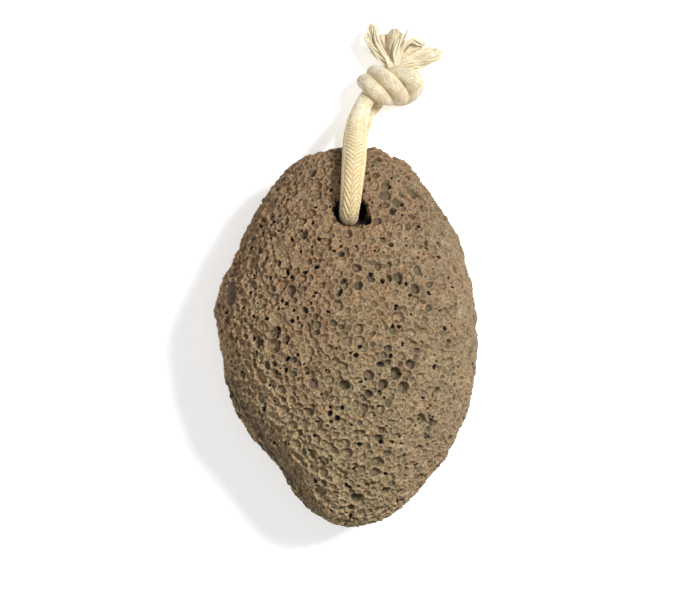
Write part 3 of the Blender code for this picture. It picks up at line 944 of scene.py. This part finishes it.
def lavaFinish():
    finish = Finish("lava", Roughness=0.92)
    finish.shader.inputs["Specular IOR Level"].default_value = 0.25
    where = finish.places()
    axes = finish.node("ShaderNodeSeparateXYZ", {}, {0: where})
    x, y, z = axes, axes.output("Y"), axes.output("Z")
    broad = finish.noise(where, 16.0)
    mottle = finish.noise(where, 2.0, detail=4.0, roughness=0.65)
    grit = finish.noise(where, 0.42, detail=3.0, roughness=0.75)
    rustPatch = finish.noise(where, 3.0, detail=3.0, roughness=0.65, distortion=0.4)
    olivePatch = finish.noise(finish.places(offset=(31.0, 7.0, 3.0)), 2.4, detail=3.0, roughness=0.6)
    grains = finish.node("ShaderNodeTexVoronoi", {"feature": "F1"}, {"Vector": where, "Scale": 2.4}, "Color")
    grain = finish.node("ShaderNodeSeparateColor", {}, {0: grains})
    bubbles = finish.node("ShaderNodeTexVoronoi", {"feature": "F1"}, {"Vector": where, "Scale": 1.15})
    froth = finish.node("ShaderNodeTexVoronoi", {"feature": "F1"}, {"Vector": where, "Scale": 0.60})
    tone = finish.attribute("tone")
    ridge = finish.attribute("ridge").smallest(1.0).largest(-1.0)
    rim = finish.attribute("rim").smallest(1.0).largest(-1.0)
    poreShade = finish.attribute("poreShade")
    stainAndShade = finish.attribute("stainAndShade")
    holeShade = finish.attribute("holeShade")

    # patches and single grains
    warmth = (y * 0.012 + 0.10 - x * 0.006 + broad * 0.9).between(0.35, 0.85)
    colour = finish.mix(warmth, lava["tan"], lava["pinkTan"])
    colour = finish.mix(x.between(4.0, 27.0) * 0.5, colour, lava["rightTan"])
    colour = finish.mix(rustPatch.between(0.54, 0.70) * 0.55, colour, lava["rust"])
    colour = finish.mix(olivePatch.between(0.56, 0.70) * 0.5, colour, lava["olive"])
    colour = finish.mix(tone.between(0.70, 1.0) * 0.20, colour, lava["dullCell"])
    colour = finish.mix(tone.between(0.35, 0.0) * 0.50, colour, lava["paleCell"])
    # the ruddy patch also darkens the bright crest of the form as painted shade
    acrossRuddy = (x - lava["ruddyCentre"][0]) / lava["ruddyReach"][0]
    alongRuddy = (y - lava["ruddyCentre"][1]) / lava["ruddyReach"][1]
    ruddy = (1.0 - acrossRuddy * acrossRuddy - alongRuddy * alongRuddy).between(0.0, 0.8)
    colour = finish.mix(ruddy * 0.5, colour, lava["ruddy"])
    colour = finish.mix(grain.between(0.90, 0.96) * 0.3, colour, lava["paleGrain"])
    colour = finish.mix(grain.output("Green").between(0.86, 0.95) * 0.5, colour, lava["darkGrain"])

    # painted light and shade of the relief, stronger on the steep left side
    over = x * stone["flankAcross"][0] + y * stone["flankAcross"][1]
    flank = over.between(*stone["flankFrom"]).largest(x.between(-25.0, -31.0))
    # valley floors are painted lighter, on the steep left side darker, with painted highlights on its ridges
    valleyLightAndShade = ridge.smallest(0.0) * (flank * 0.65 - 0.14)
    # painted shade at the foot of the cell walls, and a little on their rims
    wallShade = rim.smallest(0.0) * (0.50 - x.between(6.0, 24.0) * 0.06) - rim.largest(0.0) * 0.05
    hollow = (1 + wallShade) * (1 + valleyLightAndShade + ridge.largest(0.0) * flank * 0.35)
    blotch = (mottle - 0.5) * x.between(2.0, 20.0) * 0.5
    shade = (0.22 + mottle * 0.80 + blotch + grit * 1.00) * hollow
    # painted light on the lower left flank, which is turned from the light, and painted shade at its outer
    # edge
    flankLightAndShade = 1 + over.between(18.0, 23.0) * 0.14 - over.between(28.0, 32.0) * 0.10
    # painted light and shade: lighter to the left and bottom, darker to the right and top
    colour = finish.brighten(colour, shade * (1.04 - x * 0.0032 - y * 0.0036) * flankLightAndShade)

    # along the lower left edge the pores are drawn out into dark streaks
    along = x * stone["flankAlong"][0] + y * stone["flankAlong"][1]
    drawnOut = finish.node("ShaderNodeCombineXYZ", {}, {0: along * 0.16, 1: over * -1.1, 2: z * 1.1})
    streaks = finish.noise(drawnOut, 1.0, roughness=0.6)
    colour = finish.mix(over.between(27.0, 32.0) * streaks.between(0.46, 0.54) * 0.75, colour, lava["streak"])

    # open cells, pinholes and the drilled hole
    oliveShare = olivePatch.between(0.40, 0.50) * x.between(-27.0, -24.0)
    floors = finish.mix(oliveShare, lava["purpleFloor"], lava["oliveFloor"])
    # floors darkened by stain and painted shade
    colour = finish.mix(stainAndShade * 0.8, colour, floors)
    # painted shade: pits and pinholes are mixed towards black
    colour = finish.mix(poreShade.between(0.15, 0.70), colour, lava["poreShade"])
    # painted shade: the hole's walls are mixed towards black
    colour = finish.mix(holeShade, colour, lava["hole"])
    finish.feed("Base Color", colour)

    blisters = (froth * 1.4).smallest(1.0) ** 2.0 * 0.30 + (bubbles * 1.5).smallest(1.0) ** 2.0 * 0.25
    finish.feed("Normal", finish.bump(grit, 0.12, 0.9, finish.bump(blisters, 1.0, 0.9)))
    return finish.material


lavaStone = makeStone(lavaFinish())
